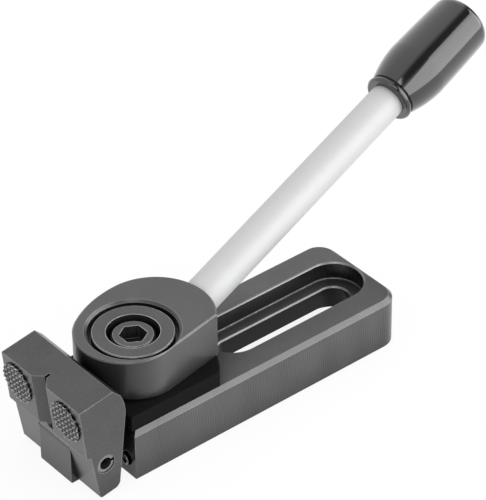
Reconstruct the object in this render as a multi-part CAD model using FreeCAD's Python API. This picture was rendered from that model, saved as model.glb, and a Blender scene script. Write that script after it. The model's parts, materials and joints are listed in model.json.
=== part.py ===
"""Low profile edge clamp: a cam lever leans a hinged, gripping jaw against the work.

Millimetres. +Z is up and +X runs back along the base. The origin is where the lever's
pivot axis meets the underside. The lever points back and the jaw is leant forward,
which is the clamped state.
"""
import FreeCAD, Part
import math
import os

# Base
BASE_WIDTH = 50.0
BASE_HEIGHT = 23.2
BASE_FRONT = 19.75
BASE_REAR = 118.25
BASE_CORNER_RADIUS = 9.0
BASE_TOP_CHAMFER = 1.8
BASE_FOOT_CHAMFER = 0.6
CORNER_SHARE = 0.45

# Bolt slot through the base
SLOT_FRONT = 49.25
SLOT_REAR = 103.25
SLOT_POCKET_WIDTH = 24.7
SLOT_POCKET_DEPTH = 8.15
SLOT_BOLT_WIDTH = 13.0
SLOT_CHANNEL_WIDTH = 25.4
SLOT_CHANNEL_DEPTH = 6.1
SLOT_EDGE_CHAMFER = 0.6

# Hinge lug and pin
HINGE_FORWARD = 14.0
HINGE_HEIGHT = 16.05
LUG_RADIUS = 6.2
LEG_WIDTH = 14.6
LUG_GAP = 0.3
PIN_RADIUS = 4.0
PIN_BORE_RADIUS = 2.7
PIN_SLIT = 1.3
PIN_SHORT = 0.4
PIN_PRESS_GAP = 0.02
RUNNING_GAP = 0.05

# Jaw, in its upright state and measured from the hinge pin
JAW_LEAN = 9.1
JAW_TOP = 32.05
JAW_TOP_BACK = 9.8
JAW_SHOULDER_BACK = 12.65
JAW_SHOULDER_DROP = 3.9
JAW_CROWN_BACK = 13.65
JAW_CROWN_HEIGHT = 22.6
JAW_CROWN_LOW_BACK = 12.65
JAW_CROWN_LOW = 16.0
JAW_HEEL_BACK = 4.5
JAW_HEEL_HEIGHT = -12.0
JAW_SOLE_BACK = 1.2
JAW_SOLE = -14.75
JAW_LEG_FRONT = 5.9
JAW_TOE_CHAMFER = 0.8
PAD_LOW = 8.1
PAD_LOW_FRONT = 7.85
PAD_TOP_FRONT = 6.4
PAD_STEP_RISE = 0.5
FACE_CENTRE = 0.9
GROOVE_WIDTH = 9.6
GROOVE_DEPTH = 4.0
GROOVE_RELIEF_WIDTH = 1.3
GROOVE_RELIEF_DEPTH = 1.6

# Serrated grip inserts
INSERT_INSET = 9.5
INSERT_HEIGHT = 21.7
INSERT_RADIUS = 8.6
INSERT_THICKNESS = 6.0
INSERT_PROUD = 1.3
INSERT_RIM_CHAMFER = 0.4
INSERT_STEM_RADIUS = 4.0
INSERT_STEM_LENGTH = 6.0
INSERT_SEAT_GAP = 0.12
TOOTH_PITCH = 2.4
TOOTH_FLAT = 0.24
TOOTH_DEPTH = 1.15

# Return springs
SPRING_INSET = 6.0
SPRING_HEIGHT = 8.5
SPRING_RADIUS = 3.2
SPRING_WIRE = 1.0
SPRING_PITCH = 2.6
SPRING_STEPS_PER_TURN = 12
SPRING_WIRE_SIDES = 6
SPRING_POCKET_GAP = 0.5
SPRING_POCKET_DEPTH = 9.0
SPRING_END_GAP = 0.3
SPRING_SEAT_RADIUS = 4.8
SPRING_SEAT_FORWARD = 7.9

# Slide plate and its screws
PLATE_THICKNESS = 6.8
PLATE_RADIUS = 33.4
PLATE_FRONT_INSET = 0.2
PLATE_EDGE_ROUND = 0.4
PLATE_SCREW_BACK = 22.0
PLATE_SCREW_INSET = 16.0
PLATE_SCREW_RADIUS = 2.0
PLATE_SCREW_HEAD_RADIUS = 4.0
PLATE_SCREW_HEAD_DEPTH = 2.3
PLATE_SCREW_GRIP = 8.0
PLATE_SCREW_SOCKET = 2.5
PLATE_SCREW_SOCKET_DEPTH = 1.4
SCREW_THREAD_GAP = 0.05

# Lever hub with its cam
HUB_HEIGHT = 19.9
HUB_REST_GAP = 0.1
CAM_RADIUS = 21.1
CAM_OFFSET = 2.64
CAM_OFFSET_ANGLE = 145.8
BACK_RADIUS = 24.8
BACK_OFFSET = 12.2
BLEND_RADIUS = 48.0
HUB_TOP_BEVEL = 0.5
HUB_RELIEF_RADIUS = 19.2
HUB_RELIEF_HEIGHT = 6.0
HUB_RELIEF_BACK = 2.0
HUB_COUNTERBORE_RADIUS = 18.2
HUB_COUNTERBORE_CHAMFER = 1.0
LEVER_ANGLE = 10.5
LEVER_RISE = 14.95
ROD_RISE_START = 1.0

# Pivot bush and screw
BUSH_RADIUS = 14.0
BUSH_FLANGE_RADIUS = 16.6
BUSH_FLANGE_THICKNESS = 4.0
BUSH_SINK = 1.0
BUSH_FLOAT = 0.1
BUSH_SEAT_DEPTH = 3.0
BUSH_EDGE = 0.4
BUSH_COUNTERBORE_RADIUS = 10.7
SCREW_RADIUS = 6.0
SCREW_HEAD_RADIUS = 8.9
SCREW_HEAD_HEIGHT = 12.0
SCREW_HEAD_SINK = 1.4
SCREW_SOCKET = 10.0
SCREW_SOCKET_DEPTH = 6.0
SCREW_LENGTH = 32.0
SCREW_HEAD_EDGE = 0.8
SCREW_HOLE_GAP = 0.5
SCREW_TIP_ROOM = 1.0

# Lever rod, grip and the bush moulded into the grip
ROD_RADIUS = 7.7
ROD_SHOULDER = 31.0
ROD_STUD_RADIUS = 5.0
ROD_STUD_LENGTH = 10.0
GRIP_START = 166.0
ROD_INTO_GRIP = 2.0
ROD_TAIL_RADIUS = 6.0
ROD_TAIL_LENGTH = 30.0
ROD_EDGE = 0.6
GRIP_LENGTH = 55.0
GRIP_RADIUS = 14.0
GRIP_END_RADIUS = 13.3
GRIP_NECK_RADIUS = 10.6
BEAD_RADIUS = 11.0
BEAD_FACE_RADIUS = 9.4
BEAD_LENGTH = 2.7
NECK_GROOVE_RADIUS = 9.8
NECK_GROOVE_WIDTH = 0.7
GRIP_SWELL = 20.0
GRIP_END_ROUND = 4.6
GRIP_DOME = 0.6
NUT_RADIUS = 8.6
NUT_LENGTH = 32.0

PLATE_TOP = BASE_HEIGHT + PLATE_THICKNESS
HUB_BOTTOM = PLATE_TOP + HUB_REST_GAP
HUB_TOP = HUB_BOTTOM + HUB_HEIGHT
HINGE_X = -BASE_FRONT - HINGE_FORWARD
JAW_WIDTH = BASE_WIDTH
LUG_WIDTH = BASE_WIDTH - 2.0 * (LEG_WIDTH + LUG_GAP)
ROD_END = GRIP_START + ROD_INTO_GRIP
BUSH_TOP = HUB_TOP - BUSH_SINK
BUSH_FLANGE_BASE = BUSH_TOP - BUSH_FLANGE_THICKNESS
BUSH_BOTTOM = BASE_HEIGHT - BUSH_SEAT_DEPTH
SCREW_HEAD_TOP = BUSH_TOP - SCREW_HEAD_SINK
SCREW_HEAD_BASE = SCREW_HEAD_TOP - SCREW_HEAD_HEIGHT
SCREW_TIP = SCREW_HEAD_BASE - SCREW_LENGTH
ORIGIN = FreeCAD.Vector(0, 0, 0)
X_AXIS = FreeCAD.Vector(1, 0, 0)
Y_AXIS = FreeCAD.Vector(0, 1, 0)
Z_AXIS = FreeCAD.Vector(0, 0, 1)


def polar(radius, degrees, z=0.0):
    """A point at a radius and an angle about the Z axis."""
    turn = math.radians(degrees)
    return FreeCAD.Vector(radius * math.cos(turn), radius * math.sin(turn), z)


def line(start, end):
    """A straight edge."""
    return Part.LineSegment(start, end).toShape()


def arc(start, middle, end):
    """A circular edge through three points."""
    return Part.Arc(start, middle, end).toShape()


def centred_arc(centre, radius, start, end):
    """A circular edge about a centre, between two angles in degrees."""
    middle = 0.5 * (start + end)
    return arc(centre + polar(radius, start), centre + polar(radius, middle),
               centre + polar(radius, end))


def prism(edges, height):
    """A solid from a closed run of edges, raised along Z."""
    return Part.Face(Part.Wire(edges)).extrude(Z_AXIS * height)


def turned(outline):
    """A solid turned about the Z axis from (radius, height) corners."""
    points = [FreeCAD.Vector(radius, 0, height) for radius, height in outline]
    return Part.Face(Part.makePolygon(points + points[:1])).revolve(ORIGIN, Z_AXIS, 360)


def rod(radius, low, high, x=0.0, y=0.0):
    """A plain upright cylinder between two heights."""
    return Part.makeCylinder(radius, high - low, FreeCAD.Vector(x, y, low))


def across(radius, width, x=0.0, z=0.0):
    """A cylinder that lies along Y, centred on the middle plane."""
    return Part.makeCylinder(radius, width, FreeCAD.Vector(x, -0.5 * width, z), Y_AXIS)


def block(low, high):
    """A box between two corners."""
    size = FreeCAD.Vector(*high) - FreeCAD.Vector(*low)
    return Part.makeBox(size.x, size.y, size.z, FreeCAD.Vector(*low))


def hexagon(across_flats, low, high):
    """A six-sided prism on the Z axis, with two flats facing along X."""
    corner = across_flats / math.sqrt(3.0)
    points = [polar(corner, 30.0 + 60.0 * k, low) for k in range(7)]
    return Part.Face(Part.makePolygon(points)).extrude(Z_AXIS * (high - low))


def stadium(x_front, x_rear, radius, z):
    """A closed wire of two half circles joined by straight sides, along X."""
    front = FreeCAD.Vector(x_front, 0, z)
    rear = FreeCAD.Vector(x_rear, 0, z)
    side = FreeCAD.Vector(0, radius, 0)
    return Part.Wire([
        arc(front + side, front - X_AXIS * radius, front - side),
        line(front - side, rear - side),
        arc(rear - side, rear + X_AXIS * radius, rear + side),
        line(rear + side, front + side),
    ])


def slot_cut(width, low, high):
    """The space of one step of the bolt slot."""
    wire = stadium(SLOT_FRONT, SLOT_REAR, 0.5 * width, low)
    return Part.Face(wire).extrude(Z_AXIS * (high - low))


def slot_bevel(width, z):
    """The chamfer at the mouth of a step of the bolt slot, whose mouth faces up."""
    inner = stadium(SLOT_FRONT, SLOT_REAR, 0.5 * width, z - SLOT_EDGE_CHAMFER)
    outer = stadium(SLOT_FRONT, SLOT_REAR, 0.5 * width + SLOT_EDGE_CHAMFER, z)
    return Part.makeLoft([inner, outer], True, True)


def level_edges(shape, z):
    """The edges of a shape that lie wholly at one height."""
    box = [(edge, edge.BoundBox) for edge in shape.Edges]
    return [edge for edge, b in box if abs(b.ZMin - z) < 1e-6 and abs(b.ZMax - z) < 1e-6]


def base_block():
    """The base's outer block, with square front and rounded rear corners."""
    half = 0.5 * BASE_WIDTH
    radius = min(BASE_CORNER_RADIUS, CORNER_SHARE * BASE_WIDTH)
    turn = radius * (1.0 - math.sqrt(0.5))
    front = -BASE_FRONT
    rear = BASE_REAR

    def at(x, y):
        return FreeCAD.Vector(x, y, 0)

    edges = [
        line(at(front, half), at(front, -half)),
        line(at(front, -half), at(rear - radius, -half)),
        arc(at(rear - radius, -half), at(rear - turn, turn - half), at(rear, radius - half)),
        line(at(rear, radius - half), at(rear, half - radius)),
        arc(at(rear, half - radius), at(rear - turn, half - turn), at(rear - radius, half)),
        line(at(rear - radius, half), at(front, half)),
    ]
    body = prism(edges, BASE_HEIGHT)
    body = body.makeChamfer(BASE_TOP_CHAMFER, level_edges(body, BASE_HEIGHT))
    return body.makeChamfer(BASE_FOOT_CHAMFER, level_edges(body, 0.0))


def hinge_lug():
    """The tongue in front of the base, rounded about the hinge pin."""
    inside = 1.0 - BASE_FRONT
    top = HINGE_HEIGHT + LUG_RADIUS
    turn = LUG_RADIUS * math.sqrt(0.5)
    side = 0.5 * LUG_WIDTH

    def at(x, z):
        return FreeCAD.Vector(x, side, z)

    nose = HINGE_X - LUG_RADIUS
    edges = [
        line(at(inside, 0), at(inside, top)),
        line(at(inside, top), at(HINGE_X, top)),
        arc(at(HINGE_X, top), at(HINGE_X - turn, HINGE_HEIGHT + turn), at(nose, HINGE_HEIGHT)),
        line(at(nose, HINGE_HEIGHT), at(nose, 0)),
        line(at(nose, 0), at(inside, 0)),
    ]
    return Part.Face(Part.Wire(edges)).extrude(Y_AXIS * -LUG_WIDTH)


def plate_screw_places():
    """Where the two plate screws stand."""
    return [FreeCAD.Vector(PLATE_SCREW_BACK, side * (0.5 * BASE_WIDTH - PLATE_SCREW_INSET), 0)
            for side in (-1, 1)]


def spring_places():
    """The two spring axes, at the base's front face."""
    return [FreeCAD.Vector(-BASE_FRONT, side * (0.5 * BASE_WIDTH - SPRING_INSET), SPRING_HEIGHT)
            for side in (-1, 1)]


def make_base():
    """The base: block, hinge lug, bolt slot, bush seat, screw holes and spring pockets."""
    body = base_block().fuse(hinge_lug())
    ledge = BASE_HEIGHT - SLOT_POCKET_DEPTH
    cuts = [
        slot_cut(SLOT_POCKET_WIDTH, ledge, BASE_HEIGHT),
        slot_bevel(SLOT_POCKET_WIDTH, BASE_HEIGHT),
        slot_cut(SLOT_BOLT_WIDTH, 0.0, ledge),
        slot_bevel(SLOT_BOLT_WIDTH, ledge),
        slot_cut(SLOT_CHANNEL_WIDTH, 0.0, SLOT_CHANNEL_DEPTH),
        across(PIN_RADIUS + RUNNING_GAP, 2.0 * LUG_WIDTH, HINGE_X, HINGE_HEIGHT),
        rod(BUSH_RADIUS, BUSH_BOTTOM, BASE_HEIGHT),
        rod(SCREW_RADIUS + SCREW_THREAD_GAP, SCREW_TIP - SCREW_TIP_ROOM, BASE_HEIGHT),
    ]
    pocket = SPRING_RADIUS + SPRING_POCKET_GAP
    cuts += [Part.makeCylinder(pocket, SPRING_POCKET_DEPTH, place, X_AXIS)
             for place in spring_places()]
    hole = PLATE_SCREW_RADIUS + SCREW_THREAD_GAP
    depth = BASE_HEIGHT - PLATE_SCREW_GRIP - SCREW_TIP_ROOM
    cuts += [rod(hole, depth, BASE_HEIGHT, place.x, place.y) for place in plate_screw_places()]
    return body.cut(cuts)


def make_slide_plate():
    """The black plate that the lever hub slides on, round behind and flat at its sides."""
    flat = BASE_WIDTH - 2.0 * BASE_TOP_CHAMFER
    front = PLATE_FRONT_INSET - BASE_FRONT
    disc = rod(PLATE_RADIUS, BASE_HEIGHT, PLATE_TOP)
    plate = disc.common(block((front, -0.5 * flat, BASE_HEIGHT),
                              (2.0 * PLATE_RADIUS, 0.5 * flat, PLATE_TOP)))
    plate = plate.makeChamfer(PLATE_EDGE_ROUND, level_edges(plate, PLATE_TOP))
    cuts = [rod(BUSH_RADIUS + RUNNING_GAP, BASE_HEIGHT, PLATE_TOP)]
    for place in plate_screw_places():
        cone = countersunk_head(PLATE_TOP)
        cone.translate(place)
        cuts.append(cone)
        cuts.append(rod(PLATE_SCREW_RADIUS + SCREW_THREAD_GAP, BASE_HEIGHT, PLATE_TOP,
                        place.x, place.y))
    return plate.cut(cuts)


def countersunk_head(top):
    """The cone of a plate screw's head, on the Z axis."""
    return Part.makeCone(PLATE_SCREW_RADIUS, PLATE_SCREW_HEAD_RADIUS, PLATE_SCREW_HEAD_DEPTH,
                         FreeCAD.Vector(0, 0, top - PLATE_SCREW_HEAD_DEPTH))


def make_plate_screw(place):
    """A countersunk screw that holds the slide plate down."""
    neck = PLATE_TOP - PLATE_SCREW_HEAD_DEPTH
    screw = countersunk_head(PLATE_TOP)
    screw = screw.fuse(rod(PLATE_SCREW_RADIUS, BASE_HEIGHT - PLATE_SCREW_GRIP, neck))
    screw = screw.cut(hexagon(PLATE_SCREW_SOCKET, PLATE_TOP - PLATE_SCREW_SOCKET_DEPTH,
                              PLATE_TOP))
    screw.translate(place)
    return screw


def make_spring(place):
    """A coil spring in its pocket, from the pocket's floor to the jaw's foot."""
    reach = SPRING_SEAT_FORWARD + SPRING_POCKET_DEPTH - 2.0 * SPRING_END_GAP
    height = reach - SPRING_WIRE
    coil = SPRING_RADIUS - 0.5 * SPRING_WIRE
    turns = height / SPRING_PITCH
    steps = math.ceil(turns * SPRING_STEPS_PER_TURN)
    rings = []
    for step in range(steps + 1):
        turn = 2.0 * math.pi * turns * step / steps
        middle = height * step / steps
        ring = []
        for corner in range(SPRING_WIRE_SIDES):
            around = 2.0 * math.pi * corner / SPRING_WIRE_SIDES
            radius = coil + 0.5 * SPRING_WIRE * math.cos(around)
            rise = middle + 0.5 * SPRING_WIRE * math.sin(around)
            ring.append(FreeCAD.Vector(radius * math.cos(turn), radius * math.sin(turn), rise))
        rings.append(ring)
    faces = [Part.Face(Part.makePolygon(ring + ring[:1])) for ring in (rings[0], rings[-1])]
    for low, high in zip(rings, rings[1:]):
        for corner in range(SPRING_WIRE_SIDES):
            beside = (corner + 1) % SPRING_WIRE_SIDES
            first, second = low[corner], low[beside]
            third, fourth = high[beside], high[corner]
            faces.append(Part.Face(Part.makePolygon([first, second, third, first])))
            faces.append(Part.Face(Part.makePolygon([first, third, fourth, first])))
    shell = Part.makeShell(faces)
    shell.sewShape()
    spring = Part.makeSolid(Part.Shell(shell.Faces))
    if spring.Volume < 0:
        spring.reverse()
    spring.rotate(ORIGIN, Y_AXIS, -90)
    inset = SPRING_POCKET_DEPTH - SPRING_END_GAP - 0.5 * SPRING_WIRE
    spring.translate(place + X_AXIS * inset)
    return spring


def seat_jaw(shape):
    """Lean a piece of the upright jaw and carry it to the hinge."""
    shape = shape.copy()
    shape.rotate(ORIGIN, Y_AXIS, -JAW_LEAN)
    shape.translate(FreeCAD.Vector(HINGE_X, 0, HINGE_HEIGHT))
    return shape


def pad_tilt():
    """The angle by which the pads lean back from the upright jaw, in degrees."""
    return math.degrees(math.atan2(PAD_LOW_FRONT - PAD_TOP_FRONT, JAW_TOP - PAD_LOW))


def pad_front(height):
    """How far the pads' face stands in front of the pin at a height above it."""
    share = (height - PAD_LOW) / (JAW_TOP - PAD_LOW)
    return PAD_LOW_FRONT + share * (PAD_TOP_FRONT - PAD_LOW_FRONT)


def on_pad(shape, side):
    """Turn a piece whose +Z faces the work and set its origin on an insert's centre."""
    y = FACE_CENTRE + side * (0.5 * JAW_WIDTH - INSERT_INSET)
    shape = shape.copy()
    shape.rotate(ORIGIN, Y_AXIS, pad_tilt() - 90.0)
    shape.translate(FreeCAD.Vector(-pad_front(INSERT_HEIGHT), y, INSERT_HEIGHT))
    return shape


def jaw_side(half_width):
    """The face of the upright jaw's side outline, at one edge of its width."""
    def at(x, z):
        return FreeCAD.Vector(x, half_width, z)

    shoulder = JAW_TOP - JAW_SHOULDER_DROP
    heel = at(JAW_HEEL_BACK, JAW_HEEL_HEIGHT)
    sole = at(JAW_SOLE_BACK, JAW_SOLE)
    heel_round = at(0.5 * (JAW_HEEL_BACK + JAW_SOLE_BACK) + 0.6,
                    0.5 * (JAW_HEEL_HEIGHT + JAW_SOLE) - 0.6)
    edges = [
        line(at(-PAD_TOP_FRONT, JAW_TOP), at(JAW_TOP_BACK, JAW_TOP)),
        line(at(JAW_TOP_BACK, JAW_TOP), at(JAW_SHOULDER_BACK, shoulder)),
        arc(at(JAW_SHOULDER_BACK, shoulder), at(JAW_CROWN_BACK, JAW_CROWN_HEIGHT),
            at(JAW_CROWN_LOW_BACK, JAW_CROWN_LOW)),
        line(at(JAW_CROWN_LOW_BACK, JAW_CROWN_LOW), heel),
        arc(heel, heel_round, sole),
        line(sole, at(JAW_TOE_CHAMFER - JAW_LEG_FRONT, JAW_SOLE)),
        line(at(JAW_TOE_CHAMFER - JAW_LEG_FRONT, JAW_SOLE),
             at(-JAW_LEG_FRONT, JAW_SOLE + JAW_TOE_CHAMFER)),
        line(at(-JAW_LEG_FRONT, JAW_SOLE + JAW_TOE_CHAMFER),
             at(-JAW_LEG_FRONT, PAD_LOW - PAD_STEP_RISE)),
        line(at(-JAW_LEG_FRONT, PAD_LOW - PAD_STEP_RISE), at(-PAD_LOW_FRONT, PAD_LOW)),
        line(at(-PAD_LOW_FRONT, PAD_LOW), at(-PAD_TOP_FRONT, JAW_TOP)),
    ]
    return Part.Face(Part.Wire(edges))


def lug_room():
    """The space in the upright jaw where the lug of the base stands."""
    width = LUG_WIDTH + 2.0 * LUG_GAP
    top = LUG_RADIUS + 2.0 * LUG_GAP
    reach = 2.0 * JAW_SHOULDER_BACK
    low = JAW_SOLE - LUG_RADIUS
    room = across(top, width)
    room = room.fuse(block((0, -0.5 * width, low), (reach, 0.5 * width, top)))
    return room.fuse(block((-reach, -0.5 * width, low), (0.1, 0.5 * width, 0)))


def groove_room():
    """The upright V groove between the two pads, with a relief slot at its root."""
    face = 0.5 * (PAD_LOW_FRONT + PAD_TOP_FRONT)
    low = LUG_RADIUS
    overrun = 2.0
    grow = (GROOVE_DEPTH + overrun) / GROOVE_DEPTH

    def at(x, y):
        return FreeCAD.Vector(x, FACE_CENTRE + y, low)

    root = GROOVE_DEPTH - face
    mouth = -face - overrun
    half = 0.5 * GROOVE_WIDTH * grow
    points = [at(root, 0), at(mouth, half), at(mouth, -half), at(root, 0)]
    room = Part.Face(Part.makePolygon(points)).extrude(Z_AXIS * (2.0 * JAW_TOP))
    relief = 0.5 * GROOVE_RELIEF_WIDTH
    room = room.fuse(block(at(mouth, -relief),
                           at(root + GROOVE_RELIEF_DEPTH, relief) + Z_AXIS * (2.0 * JAW_TOP)))
    room.rotate(FreeCAD.Vector(-face, 0, 0.5 * (PAD_LOW + JAW_TOP)), Y_AXIS, pad_tilt())
    return room


def make_jaw():
    """The clamping jaw: body with two legs, pads, V groove, insert recesses and pin hole."""
    body = jaw_side(0.5 * JAW_WIDTH).extrude(Y_AXIS * -JAW_WIDTH)
    cuts = [
        lug_room(),
        groove_room(),
        across(PIN_RADIUS + PIN_PRESS_GAP, 2.0 * JAW_WIDTH),
    ]
    depth = INSERT_THICKNESS - INSERT_PROUD
    recess = rod(INSERT_RADIUS + INSERT_SEAT_GAP, -depth, JAW_TOP)
    stem = rod(INSERT_STEM_RADIUS + PIN_PRESS_GAP, -depth - INSERT_STEM_LENGTH, 0.0)
    for side in (-1, 1):
        cuts.append(on_pad(recess, side))
        cuts.append(on_pad(stem, side))
    jaw = seat_jaw(body.cut(cuts))
    seats = [Part.makeCylinder(SPRING_SEAT_RADIUS, SPRING_SEAT_FORWARD, place, -X_AXIS)
             for place in spring_places()]
    return jaw.cut(seats)


def make_insert(side):
    """A round grip insert with a waffle of pointed teeth and a stem pressed in the jaw."""
    back = INSERT_PROUD - INSERT_THICKNESS
    edge = INSERT_RIM_CHAMFER
    outline = [(0, back - INSERT_STEM_LENGTH + PIN_PRESS_GAP),
               (INSERT_STEM_RADIUS, back - INSERT_STEM_LENGTH + PIN_PRESS_GAP),
               (INSERT_STEM_RADIUS, back), (INSERT_RADIUS, back),
               (INSERT_RADIUS, INSERT_PROUD - edge), (INSERT_RADIUS - edge, INSERT_PROUD),
               (0, INSERT_PROUD)]
    insert = turned(outline)
    count = int(INSERT_RADIUS / TOOTH_PITCH)
    reach = 1.2 * INSERT_RADIUS
    half = 0.5 * (TOOTH_PITCH - TOOTH_FLAT)
    grooves = []
    for step in range(-count, count + 1):
        middle = step * TOOTH_PITCH
        points = [FreeCAD.Vector(middle - half, -reach, INSERT_PROUD),
                  FreeCAD.Vector(middle, -reach, INSERT_PROUD - TOOTH_DEPTH),
                  FreeCAD.Vector(middle + half, -reach, INSERT_PROUD)]
        cutter = Part.Face(Part.makePolygon(points + points[:1]))
        groove = cutter.extrude(Y_AXIS * (2.0 * reach))
        other = groove.copy()
        other.rotate(ORIGIN, Z_AXIS, 90)
        grooves += [groove, other]
    return seat_jaw(on_pad(insert.cut(grooves), side))


def make_hinge_pin():
    """A slit spring pin, pressed in the jaw's legs and turning in the lug."""
    length = JAW_WIDTH - 2.0 * PIN_SHORT
    pin = across(PIN_RADIUS, length).cut(across(PIN_BORE_RADIUS, 2.0 * length))
    slit = block((0, -length, -0.5 * PIN_SLIT), (2.0 * PIN_RADIUS, length, 0.5 * PIN_SLIT))
    return seat_jaw(pin.cut(slit))


def flat_normal():
    """The direction, in degrees, that the hub's flat side faces."""
    return LEVER_ANGLE - 90.0


def hub_outline():
    """The hub's plan: cam arc, blend arc, back arc and the flat side, as edges."""
    cam = polar(CAM_OFFSET, CAM_OFFSET_ANGLE)
    back = polar(BACK_OFFSET, LEVER_ANGLE)
    apart = back - cam
    gap = apart.Length
    near = BLEND_RADIUS - CAM_RADIUS
    far = BLEND_RADIUS - BACK_RADIUS
    along = (near * near - far * far + gap * gap) / (2.0 * gap)
    offset = math.sqrt(near * near - along * along)
    unit = apart * (1.0 / gap)
    blend = cam + unit * along + FreeCAD.Vector(unit.y, -unit.x, 0) * offset
    to_cam = cam - blend
    to_back = back - blend
    cam_end = math.degrees(math.atan2(to_cam.y, to_cam.x))
    back_start = math.degrees(math.atan2(to_back.y, to_back.x))
    normal = polar(1.0, flat_normal())
    flat_start = cam + normal * CAM_RADIUS
    drop = normal.dot(flat_start - back)
    corner_turn = math.degrees(math.acos(drop / BACK_RADIUS))
    corner = flat_normal() + corner_turn
    return [
        centred_arc(cam, CAM_RADIUS, flat_normal() + 360.0, cam_end),
        centred_arc(blend, BLEND_RADIUS, cam_end, back_start),
        centred_arc(back, BACK_RADIUS, back_start, corner),
        line(back + polar(BACK_RADIUS, corner), flat_start),
    ]


def along_rod(shape):
    """Carry a piece built on the Z axis onto the lever's rising rod axis."""
    level = polar(math.cos(math.radians(LEVER_RISE)), LEVER_ANGLE)
    direction = level + Z_AXIS * math.sin(math.radians(LEVER_RISE))
    shape = shape.copy()
    turn = FreeCAD.Rotation(Z_AXIS, direction)
    start = Z_AXIS * (HUB_BOTTOM + ROD_RISE_START)
    shape.Placement = FreeCAD.Placement(start, turn).multiply(shape.Placement)
    return shape


def hub_relief():
    """The ring cut from under the cam's front, which grows wider towards the plate."""
    low = HUB_RELIEF_RADIUS
    high = HUB_RELIEF_RADIUS + HUB_RELIEF_HEIGHT
    wide = 3.0 * CAM_RADIUS
    ring = turned([(low, 0), (wide, 0), (wide, HUB_RELIEF_HEIGHT), (high, HUB_RELIEF_HEIGHT)])
    return ring.common(block((-wide, -wide, 0), (HUB_RELIEF_BACK, wide, HUB_RELIEF_HEIGHT)))


def make_hub():
    """The lever hub: eccentric cam in front, rod boss behind, stepped bore through."""
    body = prism(hub_outline(), HUB_HEIGHT)
    body = body.makeChamfer(HUB_TOP_BEVEL, level_edges(body, HUB_HEIGHT))
    body = body.cut(hub_relief())
    body.translate(Z_AXIS * HUB_BOTTOM)
    mouth = HUB_COUNTERBORE_RADIUS + HUB_COUNTERBORE_CHAMFER
    cone = Part.makeCone(HUB_COUNTERBORE_RADIUS, mouth, HUB_COUNTERBORE_CHAMFER,
                         FreeCAD.Vector(0, 0, HUB_TOP - HUB_COUNTERBORE_CHAMFER))
    socket = rod(ROD_RADIUS + PIN_PRESS_GAP, ROD_SHOULDER, 2.0 * BACK_RADIUS + BACK_OFFSET)
    stud_end = ROD_SHOULDER - ROD_STUD_LENGTH - ROD_EDGE
    stud = rod(ROD_STUD_RADIUS + PIN_PRESS_GAP, stud_end, ROD_SHOULDER)
    return body.cut([
        rod(BUSH_RADIUS, HUB_BOTTOM, HUB_TOP),
        rod(HUB_COUNTERBORE_RADIUS, BUSH_FLANGE_BASE - BUSH_FLOAT, HUB_TOP),
        cone,
        along_rod(socket),
        along_rod(stud),
    ])


def make_bush():
    """The flanged pivot bush: seated in the base, its flange keeps the hub down."""
    shank = BUSH_RADIUS - RUNNING_GAP
    edge = BUSH_EDGE
    hole = SCREW_RADIUS + SCREW_HOLE_GAP
    return turned([
        (hole, BUSH_BOTTOM), (shank - edge, BUSH_BOTTOM), (shank, BUSH_BOTTOM + edge),
        (shank, BUSH_FLANGE_BASE), (BUSH_FLANGE_RADIUS, BUSH_FLANGE_BASE),
        (BUSH_FLANGE_RADIUS, BUSH_TOP - edge), (BUSH_FLANGE_RADIUS - edge, BUSH_TOP),
        (BUSH_COUNTERBORE_RADIUS, BUSH_TOP), (BUSH_COUNTERBORE_RADIUS, SCREW_HEAD_BASE),
        (hole, SCREW_HEAD_BASE),
    ])


def make_pivot_screw():
    """The socket head screw that clamps the bush to the base."""
    edge = SCREW_HEAD_EDGE
    tip = SCREW_TIP
    screw = turned([
        (0, tip), (SCREW_RADIUS - edge, tip), (SCREW_RADIUS, tip + edge),
        (SCREW_RADIUS, SCREW_HEAD_BASE), (SCREW_HEAD_RADIUS, SCREW_HEAD_BASE),
        (SCREW_HEAD_RADIUS, SCREW_HEAD_TOP - edge), (SCREW_HEAD_RADIUS - edge, SCREW_HEAD_TOP),
        (0, SCREW_HEAD_TOP),
    ])
    return screw.cut(hexagon(SCREW_SOCKET, SCREW_HEAD_TOP - SCREW_SOCKET_DEPTH,
                             SCREW_HEAD_TOP))


def make_lever_rod():
    """The lever rod: a stud in the hub, a long plain stem and a tail in the grip."""
    edge = ROD_EDGE
    stud_end = ROD_SHOULDER - ROD_STUD_LENGTH
    tail_end = ROD_END + ROD_TAIL_LENGTH
    return along_rod(turned([
        (0, stud_end), (ROD_STUD_RADIUS - edge, stud_end), (ROD_STUD_RADIUS, stud_end + edge),
        (ROD_STUD_RADIUS, ROD_SHOULDER), (ROD_RADIUS, ROD_SHOULDER),
        (ROD_RADIUS, ROD_END - edge), (ROD_RADIUS - edge, ROD_END), (ROD_TAIL_RADIUS, ROD_END),
        (ROD_TAIL_RADIUS, tail_end - edge), (ROD_TAIL_RADIUS - edge, tail_end), (0, tail_end),
    ]))


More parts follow.
